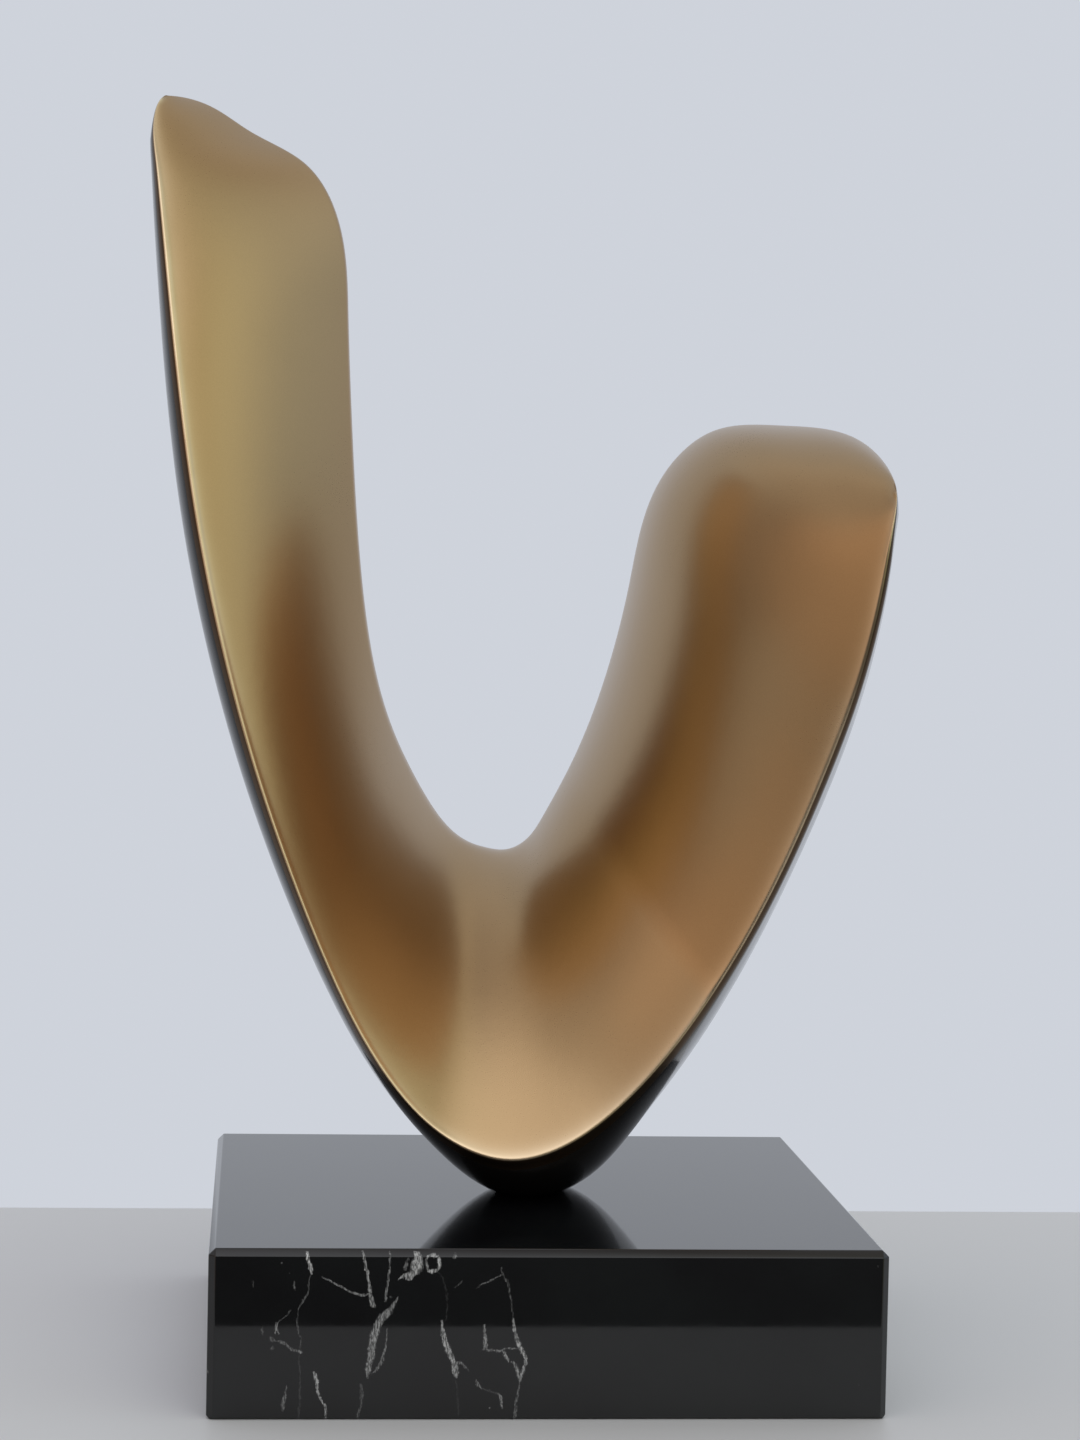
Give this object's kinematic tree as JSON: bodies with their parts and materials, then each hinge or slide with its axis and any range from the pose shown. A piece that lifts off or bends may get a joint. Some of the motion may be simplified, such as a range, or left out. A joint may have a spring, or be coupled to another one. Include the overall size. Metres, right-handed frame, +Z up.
{
  "type": "abstract metal sculpture",
  "caption": "Abstract wishbone-shaped cast metal form with a satin gold face and a gloss black hull, standing on a square plinth of polished black marble.",
  "frame": {"origin": "middle of the plinth's underside", "axes": "+Z up, -Y out of the plinth's front face, +X to the right of a viewer who looks at the gold face"},
  "size_m": [0.2323, 0.2, 0.4],
  "materials": {
    "satin_gold": "satin gold coat on the scooped face of the cast metal form",
    "gloss_black": "high-gloss black lacquer on the hull of the cast metal form",
    "black_marble": "polished black marble with sparse white veins"
  },
  "bodies": {
    "root": {"v_form": "satin_gold", "plinth": "black_marble"}
  },
  "joints": []
}
